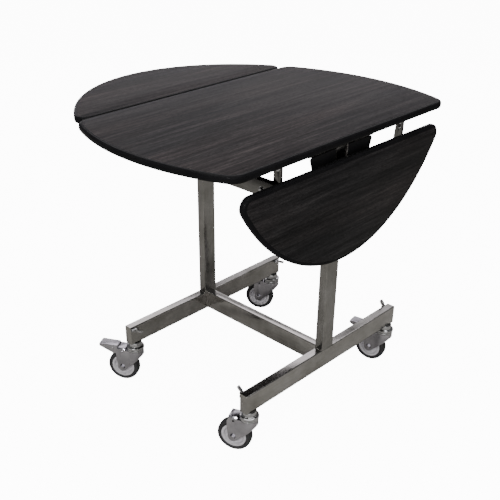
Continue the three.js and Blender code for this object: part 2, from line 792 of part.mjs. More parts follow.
// screw along +X: shank from inside the rail out to a hub with two flared wings
const wingScrewGeometry = () => {
  const body = turned([
    [0, -wingReach],
    [wingShankRadius, -wingReach],
    [wingShankRadius, runningGap],
    [wingHubRadius, runningGap],
    [wingHubRadius - 1, wingHubLength],
    [0, wingHubLength],
  ], 10).rotateY(Math.PI / 2);
  const wing = new THREE.Shape();
  wing.moveTo(2, 3);
  wing.quadraticCurveTo(2, 12, 6, 16);
  wing.quadraticCurveTo(8.5, 19, 8.5, wingHalfSpan - 3);
  wing.quadraticCurveTo(9, wingHalfSpan, 12, wingHalfSpan);
  wing.quadraticCurveTo(16, wingHalfSpan, 16, wingHalfSpan - 5);
  wing.quadraticCurveTo(15.5, 12, wingHubLength - 0.5, 3);
  wing.closePath();
  const upper = extrudeY(wing, -wingThickness / 2, wingThickness / 2, 3);
  const lower = upper.clone().rotateX(Math.PI);
  return toGeometry(toSolid(body).add(toSolid(upper)).add(toSolid(lower)));
};

const wingScrew = (name, side, end, turn) => {
  const screw = piece(`${name}_wing_screw`, wingScrewGeometry(), chrome());
  screw.position.set(side * railInner, end * wingY, railTop - wingDrop);
  screw.rotation.order = 'ZXY';
  screw.rotation.z = side > 0 ? Math.PI : 0;
  screw.rotation.x = THREE.MathUtils.degToRad(turn);
  return screw;
};

// ---------------------------------------------------------------- assembly

const frame = () => {
  const group = new THREE.Group();
  group.add(
    piece('left_foot_rail', railGeometry(-1), stainless()),
    piece('right_foot_rail', railGeometry(1), stainless()),
    piece('crossbar', crossbarGeometry(), stainless()),
    piece('left_column', columnGeometry(-1), stainless()),
    piece('right_column', columnGeometry(1), stainless()),
    piece('left_bearer', bearerGeometry(-1), stainless()),
    piece('right_bearer', bearerGeometry(1), stainless()),
    piece('left_head_plate', headPlateGeometry(-1), blackPaint()),
    piece('right_head_plate', headPlateGeometry(1), blackPaint()),
    piece('front_cross_channel', crossChannel(), stainless()),
    ...hingeFittings(-1, 'right_front'),
    ...hingeFittings(1, 'right_back'),
  );
  const leftSide = new THREE.Group();
  leftSide.add(...hingeFittings(-1, 'left_back'), ...hingeFittings(1, 'left_front'));
  leftSide.rotation.z = Math.PI;
  group.add(leftSide);
  return group;
};

const table = new THREE.Group();
table.add(...centreTop(), leftLeaf(), rightLeaf(), frame());
table.add(
  caster('left_front', -railX, -casterY, true),
  caster('right_front', railX, -casterY, false),
  caster('left_back', -railX, casterY, false),
  caster('right_back', railX, casterY, true),
  wingScrew('left_front', -1, -1, 62),
  wingScrew('right_front', 1, -1, -14),
  wingScrew('left_back', -1, 1, 70),
  wingScrew('right_back', 1, 1, -6),
);
table.position.x = standShift;

export default table;
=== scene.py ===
"""Room service table: an oval top with two folding leaves on a stainless frame with braked casters."""

import math
import random

import bmesh
import bpy
from mathutils import Matrix, Vector


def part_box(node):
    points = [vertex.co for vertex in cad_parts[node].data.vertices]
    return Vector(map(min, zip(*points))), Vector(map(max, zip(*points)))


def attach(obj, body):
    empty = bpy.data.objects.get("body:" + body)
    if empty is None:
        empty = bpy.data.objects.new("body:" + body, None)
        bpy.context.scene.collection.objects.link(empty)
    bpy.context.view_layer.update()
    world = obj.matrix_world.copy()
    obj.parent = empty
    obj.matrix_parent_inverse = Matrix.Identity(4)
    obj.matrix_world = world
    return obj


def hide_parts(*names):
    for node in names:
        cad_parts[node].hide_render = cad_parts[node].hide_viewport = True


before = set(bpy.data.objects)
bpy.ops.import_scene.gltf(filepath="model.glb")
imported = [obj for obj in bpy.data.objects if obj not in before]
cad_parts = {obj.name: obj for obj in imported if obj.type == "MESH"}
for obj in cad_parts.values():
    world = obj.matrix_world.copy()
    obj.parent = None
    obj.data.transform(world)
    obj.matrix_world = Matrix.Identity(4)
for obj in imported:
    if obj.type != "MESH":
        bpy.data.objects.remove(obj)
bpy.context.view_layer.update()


# ---- Table top
# Three boards sawn from one oval: a wide centre and two leaves, chipboard faced on both
# sides with a dark wood-grain laminate, its grain along the straight sides. A black
# plastic band, rounded above and below, is glued round each board.

oval_half_length = 0.532
oval_half_width = 0.440
centre_half_depth = 0.270
leaf_side = 0.2715
board_thickness = 0.018
top_height = 0.780
band_width = 0.009
band_round = 0.0064
centre_corner_radius = 0.042
leaf_corner_radius = 0.026
hinge_line_x, hinge_line_z = 0.2455, 0.7535
centre_low, centre_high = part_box("centre_top_edging")
centre_x = (centre_low[0] + centre_high[0]) / 2


def add_primitive(primitive, name, **size):
    """a new primitive in edit mode, its place in its mesh and nothing selected"""
    if bpy.context.mode != "OBJECT":
        bpy.ops.object.mode_set(mode="OBJECT")
    bpy.ops.object.select_all(action="DESELECT")
    primitive(**size)
    piece = bpy.context.active_object
    piece.name = name
    piece.data.name = name
    bpy.ops.object.transform_apply(location=True, rotation=True, scale=True)
    bpy.ops.object.mode_set(mode="EDIT")
    bpy.ops.mesh.select_mode(type="VERT")
    bpy.ops.mesh.select_all(action="DESELECT")
    return piece


def pick(piece, kind, test):
    """selects the vertices, edges or faces that pass the test, and nothing else"""
    bpy.ops.mesh.select_mode(type=kind)
    bpy.ops.mesh.select_all(action="DESELECT")
    mesh = bmesh.from_edit_mesh(piece.data)
    mesh.normal_update()
    for element in {"VERT": mesh.verts, "EDGE": mesh.edges, "FACE": mesh.faces}[kind]:
        if test(element):
            element.select_set(True)
    mesh.select_flush_mode()
    bmesh.update_edit_mesh(piece.data)


def leave_edit(piece, smooth_angle=35):
    """merges doubles, turns the faces outwards and shades the piece"""
    bpy.ops.mesh.select_mode(type="FACE")
    bpy.ops.mesh.select_all(action="SELECT")
    bpy.ops.mesh.remove_doubles(threshold=0.000002)
    bpy.ops.mesh.normals_make_consistent(inside=False)
    bpy.ops.object.mode_set(mode="OBJECT")
    bpy.ops.object.shade_smooth_by_angle(angle=math.radians(smooth_angle))
    return piece


def rim_edge(edge):
    """an edge between a level face and an upright one"""
    levels = [abs(face.normal.z) > 0.9 for face in edge.link_faces]
    return len(levels) == 2 and levels[0] != levels[1]


def oval_corner(side, radius, way):
    """centre of a rounded corner between the oval and a straight side, and where it leaves the oval"""
    low, high = 0.0, math.pi / 2
    for _ in range(50):
        angle = (low + high) / 2
        point = Vector((oval_half_length * math.cos(angle), oval_half_width * math.sin(angle)))
        normal = Vector((oval_half_width * math.cos(angle), oval_half_length * math.sin(angle))).normalized()
        if point.x - radius * normal.x > side + way * radius:
            low = angle
        else:
            high = angle
    return point - radius * normal, point


def sawn_board(name, leaf):
    """the whole outline of a board as a plain slab, still in edit mode"""
    under = top_height - board_thickness
    if leaf:
        corner, leave = oval_corner(leaf_side, leaf_corner_radius, 1)
        radius, spots = leaf_corner_radius, [(corner.x, corner.y), (corner.x, -corner.y)]
        cuts = [(leave.x, -1)]
    else:
        corner, leave = oval_corner(centre_half_depth, centre_corner_radius, -1)
        radius = centre_corner_radius
        spots = [(sx * corner.x, sy * corner.y) for sx in (-1, 1) for sy in (-1, 1)]
        cuts = [(leave.x, 1), (-leave.x, -1)]
    piece = add_primitive(bpy.ops.mesh.primitive_circle_add, name, vertices=360, radius=1,
                          fill_type="NGON", location=(0, 0, under))
    bpy.ops.mesh.select_all(action="SELECT")
    bpy.ops.transform.resize(value=(oval_half_length, oval_half_width, 1), center_override=(0, 0, under))
    for x, way in cuts:
        bpy.ops.mesh.select_all(action="SELECT")
        bpy.ops.mesh.bisect(plane_co=(x, 0, 0), plane_no=(way, 0, 0), clear_outer=True)
    for x, y in spots:
        bpy.ops.mesh.primitive_circle_add(vertices=72, radius=radius, fill_type="NGON", location=(x, y, under))
    bpy.ops.mesh.select_all(action="SELECT")
    bpy.ops.mesh.extrude_region_move(TRANSFORM_OT_translate={"value": (0, 0, board_thickness)})
    bpy.ops.mesh.select_all(action="SELECT")
    bpy.ops.mesh.convex_hull()
    bpy.ops.mesh.select_all(action="SELECT")
    bpy.ops.mesh.dissolve_limited(angle_limit=math.radians(0.2))
    bpy.ops.mesh.select_all(action="SELECT")
    bpy.ops.mesh.normals_make_consistent(inside=False)
    return piece


def board_face(face):
    return abs(face.normal.z) > 0.99 and face.calc_area() > 0.03


def faced_board(name, leaf):
    piece = sawn_board(name, leaf)
    pick(piece, "FACE", board_face)
    bpy.ops.mesh.inset(thickness=band_width, use_individual=True)
    bpy.ops.mesh.select_all(action="INVERT")
    bpy.ops.mesh.delete(type="FACE")
    pick(piece, "EDGE", lambda edge: edge.is_boundary)
    bpy.ops.mesh.bridge_edge_loops()
    pick(piece, "EDGE", rim_edge)
    bpy.ops.mesh.bevel(offset=0.0003, segments=2, affect="EDGES")
    return leave_edit(piece)


def edge_band(name, leaf):
    piece = sawn_board(name, leaf)
    pick(piece, "EDGE", rim_edge)
    bpy.ops.mesh.bevel(offset=band_round, segments=7, affect="EDGES", clamp_overlap=False)
    pick(piece, "FACE", board_face)
    bpy.ops.mesh.inset(thickness=band_width - band_round, use_individual=True)
    bpy.ops.mesh.bridge_edge_loops()
    return leave_edit(piece, 50)


def move_mesh(piece, matrix):
    piece.data.transform(matrix)
    piece.data.update()
    return piece


pivot = Vector((hinge_line_x, 0, hinge_line_z))
to_centre = Matrix.Translation((centre_x, 0, 0))
turn_left = to_centre @ Matrix.Rotation(math.pi, 4, "Z")
hang_right = (to_centre @ Matrix.Translation(pivot) @ Matrix.Rotation(math.radians(90), 4, "Y")
              @ Matrix.Translation(-pivot))
boards = {}
bands = {}
for spot, leaf, place in (("centre_top", False, to_centre), ("left_leaf", True, turn_left),
                          ("right_leaf", True, hang_right)):
    boards[spot] = move_mesh(faced_board(f"{spot}_board", leaf), place)
    bands[spot] = move_mesh(edge_band(f"{spot}_band", leaf), place)


def new_material(name):
    material = bpy.data.materials.new(name)
    material.use_nodes = True
    return material, material.node_tree.nodes, material.node_tree.links, material.node_tree.nodes["Principled BSDF"]


def new_group(name, inputs, outputs):
    """an empty shader node group with named float, colour or vector sockets"""
    group = bpy.data.node_groups.new(name, "ShaderNodeTree")
    for socket, kind, value in inputs:
        made = group.interface.new_socket(name=socket, in_out="INPUT", socket_type=f"NodeSocket{kind}")
        made.default_value = value
    for socket, kind in outputs:
        group.interface.new_socket(name=socket, in_out="OUTPUT", socket_type=f"NodeSocket{kind}")
    nodes, links = group.nodes, group.links
    return group, nodes, links, nodes.new("NodeGroupInput").outputs, nodes.new("NodeGroupOutput").inputs


def surface_noise_group():
    """a noise on the piece's own coordinates that can be stretched along its grain"""
    group, nodes, links, given, result = new_group("surface_noise", [
        ("Scale", "Float", 5.0), ("Detail", "Float", 2.0), ("Roughness", "Float", 0.5),
        ("Stretch", "Vector", (1, 1, 1))], [("Value", "Float")])
    place = nodes.new("ShaderNodeTexCoord")
    mapping = nodes.new("ShaderNodeMapping")
    noise = nodes.new("ShaderNodeTexNoise")
    links.new(place.outputs["Object"], mapping.inputs["Vector"])
    links.new(given["Stretch"], mapping.inputs["Scale"])
    links.new(mapping.outputs["Vector"], noise.inputs["Vector"])
    for socket in ("Scale", "Detail", "Roughness"):
        links.new(given[socket], noise.inputs[socket])
    links.new(noise.outputs["Fac"], result["Value"])
    return group


def value_range_group():
    """spreads the middle of a noise over a range of values"""
    group, nodes, links, given, result = new_group("value_range", [
        ("Value", "Float", 0.5), ("Low", "Float", 0.0), ("High", "Float", 1.0)], [("Value", "Float")])
    fit = nodes.new("ShaderNodeMapRange")
    fit.inputs["From Min"].default_value = 0.3
    fit.inputs["From Max"].default_value = 0.7
    links.new(given["Value"], fit.inputs["Value"])
    links.new(given["Low"], fit.inputs["To Min"])
    links.new(given["High"], fit.inputs["To Max"])
    links.new(fit.outputs["Result"], result["Value"])
    return group


surface_noise = surface_noise_group()
value_range = value_range_group()


def object_noise(nodes, scale, detail, stretch=(1, 1, 1), rough=0.5):
    node = nodes.new("ShaderNodeGroup")
    node.node_tree = surface_noise
    node.inputs["Scale"].default_value = scale
    node.inputs["Detail"].default_value = detail
    node.inputs["Roughness"].default_value = rough
    node.inputs["Stretch"].default_value = stretch
    return node.outputs["Value"]


def spread(nodes, links, source, low, high):
    node = nodes.new("ShaderNodeGroup")
    node.node_tree = value_range
    node.inputs["Low"].default_value = low
    node.inputs["High"].default_value = high
    links.new(source, node.inputs["Value"])
    return node.outputs["Value"]


def ramp(nodes, links, source, stops):
    """a colour ramp whose stops are (place, colour)"""
    node = nodes.new("ShaderNodeValToRGB")
    while len(node.color_ramp.elements) < len(stops):
        node.color_ramp.elements.new(0.5)
    for element, (place, colour) in zip(node.color_ramp.elements, stops):
        element.position = place
        element.color = (*colour, 1)
    links.new(source, node.inputs["Fac"])
    return node.outputs["Color"]


def mix_colour(nodes, links, blend, amount, first, second):
    node = nodes.new("ShaderNodeMix")
    node.data_type = "RGBA"
    node.blend_type = blend
    node.inputs[0].default_value = amount
    links.new(first, node.inputs[6])
    links.new(second, node.inputs[7])
    return node.outputs[2]


def bump(nodes, links, shader, height, strength, distance):
    node = nodes.new("ShaderNodeBump")
    node.inputs["Strength"].default_value = strength
    node.inputs["Distance"].default_value = distance
    links.new(height, node.inputs["Height"])
    links.new(node.outputs["Normal"], shader.inputs["Normal"])


def dark_laminate():
    """wenge-like print: long wavering figure, short pores and broad warm and cool bands"""
    material, nodes, links, shader = new_material("dark_wood_laminate")
    figure = object_noise(nodes, 3.0, 9, (24, 0.9, 24), 0.74)
    streaks = ramp(nodes, links, figure, [(0.36, (0.0100, 0.0090, 0.0096)), (0.46, (0.0205, 0.0186, 0.0194)),
                                          (0.55, (0.0345, 0.0308, 0.0318)), (0.66, (0.0590, 0.0520, 0.0520))])
    bands = object_noise(nodes, 4.0, 3, (2.2, 0.35, 2.2))
    warmth = ramp(nodes, links, bands, [(0.38, (0.80, 0.85, 0.86)), (0.62, (1.18, 1.12, 1.08))])
    pores = object_noise(nodes, 110.0, 4, (14, 0.7, 14), 0.7)
    pore_tone = ramp(nodes, links, pores, [(0.40, (0.30, 0.28, 0.28)), (0.53, (1.1, 1.1, 1.1))])
    threads = object_noise(nodes, 10.0, 3, (44, 0.7, 44), 0.6)
    thread_tone = ramp(nodes, links, threads, [(0.42, (0.62, 0.60, 0.62)), (0.57, (1.32, 1.30, 1.30))])
    tone = mix_colour(nodes, links, "MULTIPLY", 1.0, streaks, warmth)
    tone = mix_colour(nodes, links, "MULTIPLY", 0.65, tone, thread_tone)
    links.new(mix_colour(nodes, links, "MULTIPLY", 0.85, tone, pore_tone), shader.inputs["Base Color"])
    links.new(spread(nodes, links, pores, 0.58, 0.44), shader.inputs["Roughness"])
    shader.inputs["Specular IOR Level"].default_value = 0.08
    bump(nodes, links, shader, pores, 0.10, 0.0004)
    return material


def black_band():
    material, nodes, links, shader = new_material("black_edge_band")
    cloud = object_noise(nodes, 24.0, 4)
    colour = ramp(nodes, links, cloud, [(0.3, (0.0066, 0.0066, 0.0074)), (0.7, (0.0105, 0.0103, 0.0112))])
    links.new(colour, shader.inputs["Base Color"])
    links.new(spread(nodes, links, cloud, 0.14, 0.22), shader.inputs["Roughness"])
    shader.inputs["Specular IOR Level"].default_value = 0.03
    ripple = object_noise(nodes, 70.0, 2)
    bump(nodes, links, shader, ripple, 0.05, 0.0006)
    return material


def finish_piece(piece, material, slot, body, *nodes):
    """gives a piece its material and its body, and hides the CAD nodes it stands for"""
    piece.data.materials.clear()
    piece.data.materials.append(material)
    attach(piece, body)
    if nodes:
        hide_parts(*nodes)
    return piece


laminate = dark_laminate()
band_plastic = black_band()
for spot, body in (("centre_top", "frame"), ("left_leaf", "left_leaf"), ("right_leaf", "right_leaf")):
    finish_piece(boards[spot], laminate, "laminate", body, f"{spot}_panel")
    finish_piece(bands[spot], band_plastic, "edge_band", body, f"{spot}_edging")


# ---- Foot frame
# An H of polished stainless steel tube, 25 mm wide: two foot rails with plates welded over
# their ends, a crossbar between them and an upright column on the middle of each rail.

tube_corner = 0.0024
end_plate_round = 0.0012


def square_tube(name, node, along, corner, end_round):
    """a length of tube where the CAD has it, its four long edges rounded, and its ends if they show"""
    low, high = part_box(node)
    piece = add_primitive(bpy.ops.mesh.primitive_cube_add, name, size=1, location=(low + high) / 2,
                          scale=high - low)
    pick(piece, "EDGE", lambda edge: abs((edge.verts[0].co - edge.verts[1].co).normalized()[along]) > 0.9)
    bpy.ops.mesh.bevel(offset=corner, segments=5, affect="EDGES")
    ends = (low[along], high[along])
    if end_round:
        pick(piece, "EDGE", lambda edge: all(min(abs(vert.co[along] - end) for end in ends) < 0.00001
                                             for vert in edge.verts)
             and any(abs(face.normal[along]) < 0.5 for face in edge.link_faces))
        bpy.ops.mesh.bevel(offset=end_round, segments=3, affect="EDGES")
    return leave_edit(piece, 40)


def drawn_steel_group():
    """colour, roughness and height of polished steel: faint drawing lines, smudges and rubs; the cloudy light and dark
    patches in the colour are a painted reflection, and the tone, a painted shade, darkens whole parts
    """
    group, nodes, links, given, result = new_group("drawn_steel", [
        ("Line Stretch", "Vector", (1, 1, 1)), ("Painted Shade Tone", "Color", (1, 1, 1, 1))], [
        ("Color", "Color"), ("Roughness", "Float"), ("Height", "Float")])
    lines_node = nodes.new("ShaderNodeGroup")
    lines_node.node_tree = surface_noise
    for socket, value in (("Scale", 14.0), ("Detail", 5.0), ("Roughness", 0.6)):
        lines_node.inputs[socket].default_value = value
    links.new(given["Line Stretch"], lines_node.inputs["Stretch"])
    lines = lines_node.outputs["Value"]
    smudges_and_painted_reflections = object_noise(nodes, 10.0, 5, rough=0.68)
    # the wide light and dark patches of this colour are a painted reflection; the same noise varies the roughness as
    # smudges and rubs
    colour = ramp(nodes, links, smudges_and_painted_reflections, [(0.33, (0.35, 0.340, 0.318)), (0.50, (0.48, 0.467, 0.447)),
                                         (0.67, (0.60, 0.583, 0.573))])
    line_tone = ramp(nodes, links, lines, [(0.35, (0.72, 0.72, 0.71)), (0.6, (1, 1, 1))])
    lined = mix_colour(nodes, links, "MULTIPLY", 1.0, colour, line_tone)
    # the tone darkens the whole part: a painted shade
    links.new(mix_colour(nodes, links, "MULTIPLY", 1.0, lined, given["Painted Shade Tone"]), result["Color"])
    links.new(spread(nodes, links, smudges_and_painted_reflections, 0.09, 0.24), result["Roughness"])
    links.new(lines, result["Height"])
    return group


drawn_steel = drawn_steel_group()


def brushed_steel(name, along, tone):
    """the drawn steel with its lines along one axis, its colour darkened by a tone that is a painted shade"""
    material, nodes, links, shader = new_material(name)
    steel = nodes.new("ShaderNodeGroup")
    steel.node_tree = drawn_steel
    stretch = [90.0, 90.0, 90.0]
    stretch[along] = 1.2
    steel.inputs["Line Stretch"].default_value = stretch
    steel.inputs["Painted Shade Tone"].default_value = (tone, tone, tone, 1)
    links.new(steel.outputs["Color"], shader.inputs["Base Color"])
    links.new(steel.outputs["Roughness"], shader.inputs["Roughness"])
    shader.inputs["Metallic"].default_value = 1.0
    bump(nodes, links, shader, steel.outputs["Height"], 0.05, 0.0003)
    return material


# One steel in lit and shaded copies: the rails and the crossbar keep nearly its full tone, and the column is darker, a
# painted shade
steel_y = brushed_steel("stainless_rail", 1, 0.95)
steel_x = brushed_steel("stainless_crossbar", 0, 1.0)
steel_z = brushed_steel("stainless_column", 2, 0.66)
for side in ("left", "right"):
    rail = square_tube(f"{side}_rail_tube", f"{side}_foot_rail", 1, tube_corner, end_plate_round)
    finish_piece(rail, steel_y, "stainless_steel", "frame", f"{side}_foot_rail")
    column = square_tube(f"{side}_column_tube", f"{side}_column", 2, tube_corner, 0)
    finish_piece(column, steel_z, "stainless_steel", "frame", f"{side}_column")
crossbar = square_tube("crossbar_tube", "crossbar", 0, tube_corner, 0)
finish_piece(crossbar, steel_x, "stainless_steel", "frame", "crossbar")


# ---- Welds
# Small rippled beads of weld metal in the corners where the columns stand on the rails and
# where the crossbar meets them, brushed but still a little dull.

weld_step = 0.0016
weld_radius = 0.0021
weld_setback = 0.003


def weld_bead(name, start, end):
    """overlapping drops of weld metal along a straight seam, melted into one bead"""
    chance = random.Random(name)
    start, end = Vector(start), Vector(end)
    count = int((end - start).length / weld_step) + 1
    piece = add_primitive(bpy.ops.mesh.primitive_ico_sphere_add, name, subdivisions=2,
                          radius=weld_radius, location=start)
    for step in range(1, count + 1):
        radius = weld_radius * chance.uniform(0.85, 1.12)
        bpy.ops.mesh.primitive_ico_sphere_add(subdivisions=2, radius=radius, location=start.lerp(end, step / count))
    bpy.ops.object.mode_set(mode="OBJECT")
    melt = piece.modifiers.new("melt", "REMESH")
    melt.mode = "VOXEL"
    melt.voxel_size = 0.0006
    bpy.ops.object.modifier_apply(modifier="melt")
    bpy.ops.object.mode_set(mode="EDIT")
    return leave_edit(piece, 60)


def weld_metal():
    material, nodes, links, shader = new_material("weld_metal")
    tint = object_noise(nodes, 120.0, 3)
    colour = ramp(nodes, links, tint, [(0.35, (0.16, 0.15, 0.14)), (0.65, (0.34, 0.32, 0.30))])
    links.new(colour, shader.inputs["Base Color"])
    shader.inputs["Metallic"].default_value = 1.0
    links.new(spread(nodes, links, tint, 0.30, 0.50), shader.inputs["Roughness"])
    return material


bead_metal = weld_metal()
for side in ("left", "right"):
    low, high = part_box(f"{side}_column")
    for end, y in (("front", low.y), ("back", high.y)):
        bead = weld_bead(f"{side}_column_weld_{end}", (low.x + weld_setback, y, low.z),
                         (high.x - weld_setback, y, low.z))
        finish_piece(bead, bead_metal, "stainless_steel", "frame")
    bar_low, bar_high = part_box("crossbar")
    x = bar_low.x if side == "left" else bar_high.x
    for end, y in (("front", bar_low.y), ("back", bar_high.y)):
        bead = weld_bead(f"{side}_crossbar_weld_{end}", (x, y, bar_low.z + weld_setback),
                         (x, y, bar_high.z - weld_setback))
        finish_piece(bead, bead_metal, "stainless_steel", "frame")


# ---- Column heads
# A short stainless bearer lies across each column under the top. Below it a black painted
# steel plate, wide at the top and drawn in to the column, stiffens the joint from outside.
# Two beads close the slit between the column and the plate's notch.

notch_depth = 0.030
bearer_wall, bearer_corner = 0.002, 0.0026


def refined_copy(name, node, edge_round, flat_angle=2.0):
    """a copy of a pressed or cut CAD piece, its faces joined again and its edges broken"""
    if bpy.context.mode != "OBJECT":
        bpy.ops.object.mode_set(mode="OBJECT")
    bpy.ops.object.select_all(action="DESELECT")
    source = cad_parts[node]
    piece = bpy.data.objects.new(name, source.data.copy())
    piece.data.name = name
    bpy.context.collection.objects.link(piece)
    bpy.context.view_layer.objects.active = piece
    piece.select_set(True)
    bpy.ops.object.mode_set(mode="EDIT")
    bpy.ops.mesh.select_all(action="SELECT")
    bpy.ops.mesh.remove_doubles(threshold=0.000002)
    bpy.ops.mesh.dissolve_limited(angle_limit=math.radians(flat_angle))
    bpy.ops.object.mode_set(mode="OBJECT")
    broken = piece.modifiers.new("broken_edges", "BEVEL")
    broken.width = edge_round
    broken.segments = 2
    broken.limit_method = "ANGLE"
    broken.angle_limit = math.radians(32)
    bpy.ops.object.modifier_apply(modifier="broken_edges")
    bpy.ops.object.shade_smooth_by_angle(angle=math.radians(38))
    return piece


def black_powder_coat():
    material, nodes, links, shader = new_material("black_powder_coat")
    peel = object_noise(nodes, 420.0, 3)
    cloud = object_noise(nodes, 18.0, 3)
    colour = ramp(nodes, links, cloud, [(0.3, (0.0045, 0.0045, 0.0052)), (0.7, (0.0085, 0.0085, 0.0092))])
    links.new(colour, shader.inputs["Base Color"])
    links.new(spread(nodes, links, peel, 0.34, 0.46), shader.inputs["Roughness"])
    shader.inputs["Specular IOR Level"].default_value = 0.35
    bump(nodes, links, shader, peel, 0.12, 0.0002)
    return material


def open_tube(name, node, wall, corner):
    """a short tube along Y, open at both ends"""
    low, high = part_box(node)
    piece = add_primitive(bpy.ops.mesh.primitive_cube_add, name, size=1, location=(low + high) / 2,
                          scale=high - low)
    pick(piece, "FACE", lambda face: abs(face.normal.y) > 0.9)
    bpy.ops.mesh.delete(type="FACE")
    pick(piece, "EDGE", lambda edge: len(edge.link_faces) == 2)
    bpy.ops.mesh.bevel(offset=corner, segments=4, affect="EDGES")
    bpy.ops.object.mode_set(mode="OBJECT")
    thick = piece.modifiers.new("wall", "SOLIDIFY")
    thick.thickness = wall
    thick.offset = -1
    bpy.ops.object.modifier_apply(modifier="wall")
    bpy.ops.object.mode_set(mode="EDIT")
    return leave_edit(piece, 40)


black_paint = black_powder_coat()
for side in ("left", "right"):
    bearer = open_tube(f"{side}_bearer_tube", f"{side}_bearer", bearer_wall, bearer_corner)
    finish_piece(bearer, steel_y, "stainless_steel", "frame", f"{side}_bearer")
    plate = refined_copy(f"{side}_gusset_plate", f"{side}_head_plate", 0.0006)
    finish_piece(plate, black_paint, "black_paint", "frame", f"{side}_head_plate")
    low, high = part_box(f"{side}_column")
    x = low.x - 0.0008 if side == "left" else high.x + 0.0008
    for end, y in (("front", low.y + 0.0009), ("back", high.y - 0.0009)):
        seam = weld_bead(f"{side}_notch_weld_{end}", (x, y, high.z - notch_depth), (x, y, high.z - 0.001))
        finish_piece(seam, bead_metal, "stainless_steel", "frame")


# ---- Cross channel
# A channel folded from stainless sheet, open upwards, runs under the top from one front hinge
# to the other. A hexagon bolt near each end goes through it and the hinge upright inside.

bolt_place, bolt_height = 0.208, 0.6990
cheek_length = 0.0125
sheet_bend = 0.0032
sheet_thickness = 0.002


def folded_channel(name, node):
    """a U of sheet, its ends cut back to the outer wall alone where the arms turn"""
    low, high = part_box(node)
    piece = add_primitive(bpy.ops.mesh.primitive_cube_add, name, size=1, location=(low + high) / 2,
                          scale=high - low)
    pick(piece, "FACE", lambda face: face.normal.z > 0.9 or abs(face.normal.x) > 0.9)
    bpy.ops.mesh.delete(type="FACE")
    pick(piece, "EDGE", lambda edge: len(edge.link_faces) == 2)
    bpy.ops.mesh.bevel(offset=sheet_bend, segments=5, affect="EDGES")
    ends = (low.x + cheek_length, high.x - cheek_length)
    for x in ends:
        bpy.ops.mesh.select_all(action="SELECT")
        bpy.ops.mesh.bisect(plane_co=(x, 0, 0), plane_no=(1, 0, 0))
    pick(piece, "FACE", lambda face: not ends[0] < face.calc_center_median().x < ends[1] and face.normal.y > -0.9)
    bpy.ops.mesh.delete(type="FACE")
    bpy.ops.object.mode_set(mode="OBJECT")
    wall = piece.modifiers.new("sheet", "SOLIDIFY")
    wall.thickness = sheet_thickness
    wall.offset = -1
    bpy.ops.object.modifier_apply(modifier="sheet")
    broken = piece.modifiers.new("broken_edges", "BEVEL")
    broken.width = 0.0004
    broken.segments = 2
    broken.limit_method = "ANGLE"
    broken.angle_limit = math.radians(50)
    bpy.ops.object.modifier_apply(modifier="broken_edges")
    bpy.ops.object.mode_set(mode="EDIT")
    return leave_edit(piece, 40)


def turned_piece(name, rings, through=False, vertices=48):
    """a round piece drawn up from its lowest circle through rings of (radius, height)"""
    radius, height = rings[0]
    piece = add_primitive(bpy.ops.mesh.primitive_circle_add, name, vertices=vertices, radius=radius,
                          fill_type="NOTHING" if through else "NGON", location=(0, 0, height))
    bpy.ops.mesh.select_all(action="SELECT")
    for next_radius, next_height in rings[1:]:
        bpy.ops.mesh.extrude_region_move(TRANSFORM_OT_translate={"value": (0, 0, next_height - height)})
        scale = next_radius / radius
        bpy.ops.transform.resize(value=(scale, scale, 1), center_override=(0, 0, next_height))
        radius, height = next_radius, next_height
    return piece


def placed_copy(source, name, matrix):
    """a copy with its own mesh, moved to where it belongs"""
    copy = bpy.data.objects.new(name, source.data.copy())
    copy.data.name = name
    copy.data.transform(matrix)
    if matrix.determinant() < 0:
        copy.data.flip_normals()
    copy.data.update()
    bpy.context.collection.objects.link(copy)
    return copy


def put_away(*sources):
    """removes the first model of a repeated piece once its copies stand in place"""
    for source in sources:
        bpy.data.objects.remove(source)


def bright_chrome():
    material, nodes, links, shader = new_material("bright_chrome")
    haze = object_noise(nodes, 160.0, 3)
    colour = ramp(nodes, links, haze, [(0.3, (0.44, 0.44, 0.45)), (0.7, (0.60, 0.60, 0.61))])
    links.new(colour, shader.inputs["Base Color"])
    shader.inputs["Metallic"].default_value = 1.0
    links.new(spread(nodes, links, haze, 0.06, 0.15), shader.inputs["Roughness"])
    return material


def through_bolt(name, reach):
    """washer and hexagon head, shank, and a nut with its washer, along Z from the head"""
    piece = turned_piece(name, [(0.0070, -0.0010), (0.0070, 0.0)], vertices=32)
    bpy.ops.mesh.primitive_cylinder_add(vertices=6, radius=0.0058, depth=0.0040, location=(0, 0, -0.0030))
    pick(piece, "EDGE", lambda edge: all(vert.co.z < -0.0049 for vert in edge.verts))
    bpy.ops.mesh.bevel(offset=0.0024, segments=4, affect="EDGES")
    bpy.ops.mesh.primitive_cylinder_add(vertices=24, radius=0.0030, depth=reach + 0.008,
                                        location=(0, 0, reach / 2 + 0.002))
    bpy.ops.mesh.primitive_cylinder_add(vertices=32, radius=0.0070, depth=0.0010, location=(0, 0, reach + 0.0005))
    bpy.ops.mesh.primitive_cylinder_add(vertices=6, radius=0.0058, depth=0.0042, location=(0, 0, reach + 0.0031))
    return leave_edit(piece, 30)


chrome = bright_chrome()
# the channel's sheet is a darker copy of the same steel, a painted shade
sheet_steel = brushed_steel("stainless_sheet", 0, 0.50)
channel = folded_channel("front_channel_sheet", "front_cross_channel")
finish_piece(channel, sheet_steel, "stainless_steel", "frame", "front_cross_channel")
channel_low, channel_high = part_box("front_cross_channel")
bolt = through_bolt("channel_bolt_model", channel_high.y - channel_low.y)
for side, x in (("left", -bolt_place), ("right", bolt_place)):
    place = Matrix.Translation((centre_x + x, channel_low.y, bolt_height)) @ Matrix.Rotation(math.radians(-90), 4, "X")
    finish_piece(placed_copy(bolt, f"{side}_channel_bolt", place), chrome, "chrome", "frame")
put_away(bolt)


